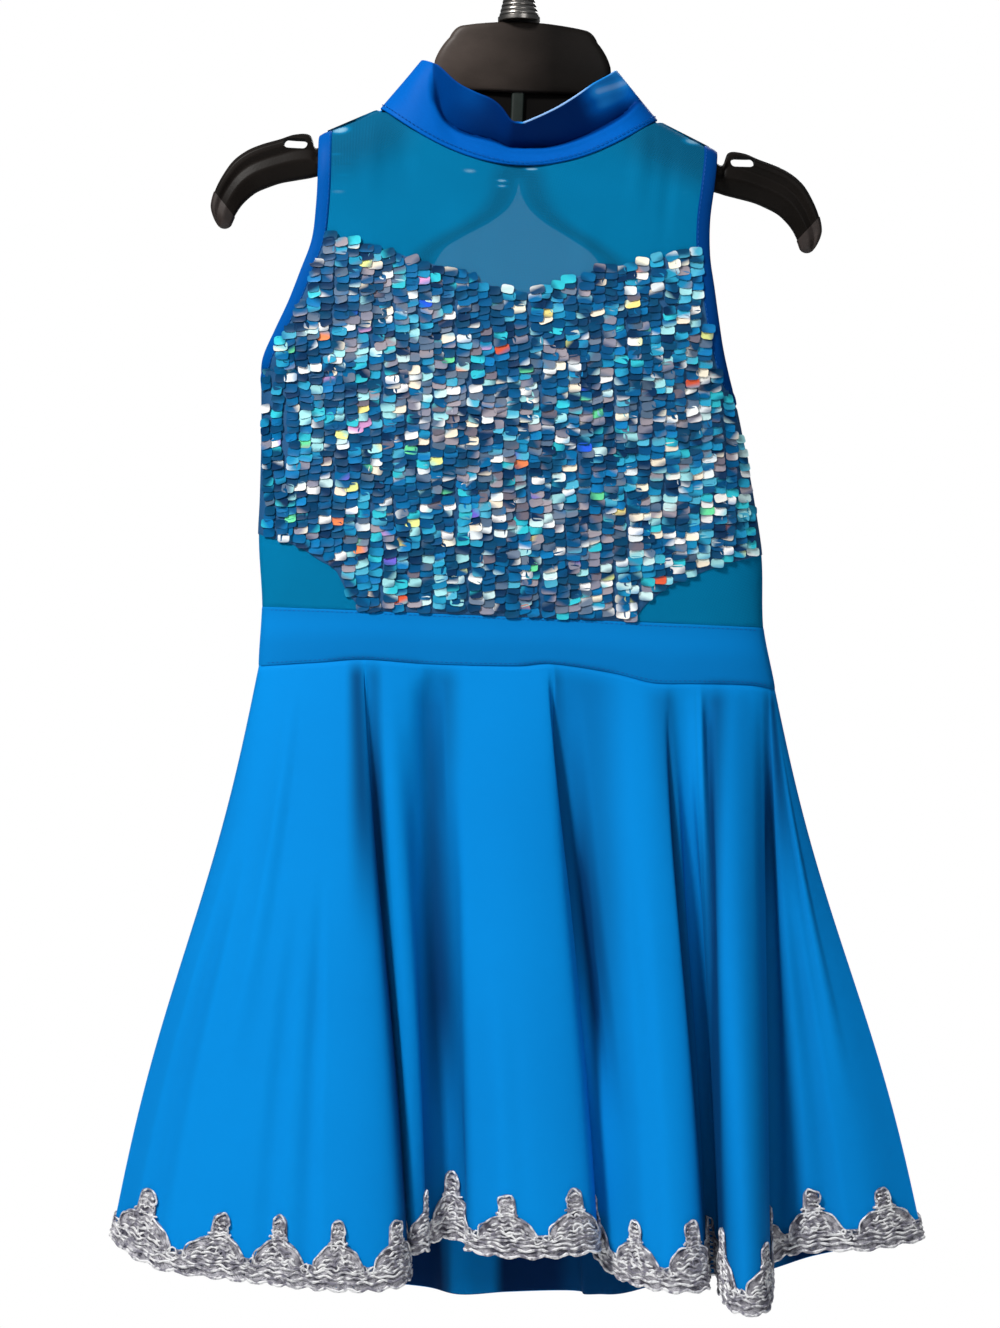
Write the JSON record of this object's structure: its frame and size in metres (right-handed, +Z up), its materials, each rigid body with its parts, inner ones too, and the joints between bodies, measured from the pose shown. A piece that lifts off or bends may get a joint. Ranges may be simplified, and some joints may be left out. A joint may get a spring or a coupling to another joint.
{
  "type": "lyrical dance costume on a hanger",
  "caption": "Sleeveless mock-neck lyrical dance costume with mesh yoke, sequined front, keyhole back and flared lace-trimmed skirt, hung on a shaped plastic hanger with a metal hook.",
  "frame": {"origin": "inside the crest of the hanger's hook, where the rail carries it", "axes": "+Z up, +X to the right of someone facing the front, +Y from the front of the costume to its back"},
  "size_m": [0.4738, 0.1006, 0.8282],
  "materials": {
    "hook_metal": "polished",
    "hanger_plastic": "satin",
    "blue_satin": "smooth",
    "button_plastic": "gloss",
    "stretch_mesh": "matt",
    "sequins": "gloss",
    "blue_spandex": "matt",
    "silver_lace": "metallic thread"
  },
  "bodies": {
    "root": {"hook": "hook_metal", "hook_ferrule": "hook_metal", "hanger_body": "hanger_plastic", "collar": "blue_satin", "collar_tab": "blue_satin", "collar_button": "button_plastic", "front_yoke": "stretch_mesh", "sequin_panel": "sequins", "side_insert_left": "stretch_mesh", "side_insert_right": "stretch_mesh", "back_left": "blue_spandex", "back_right": "blue_spandex", "keyhole_binding_left": "blue_satin", "keyhole_binding_right": "blue_satin", "armhole_binding_left": "blue_satin", "armhole_binding_right": "blue_satin", "waistband_front": "blue_spandex", "waistband_back": "blue_spandex", "skirt_front": "blue_spandex", "skirt_back": "blue_spandex", "lace_front": "silver_lace", "lace_back": "silver_lace"}
  },
  "joints": []
}
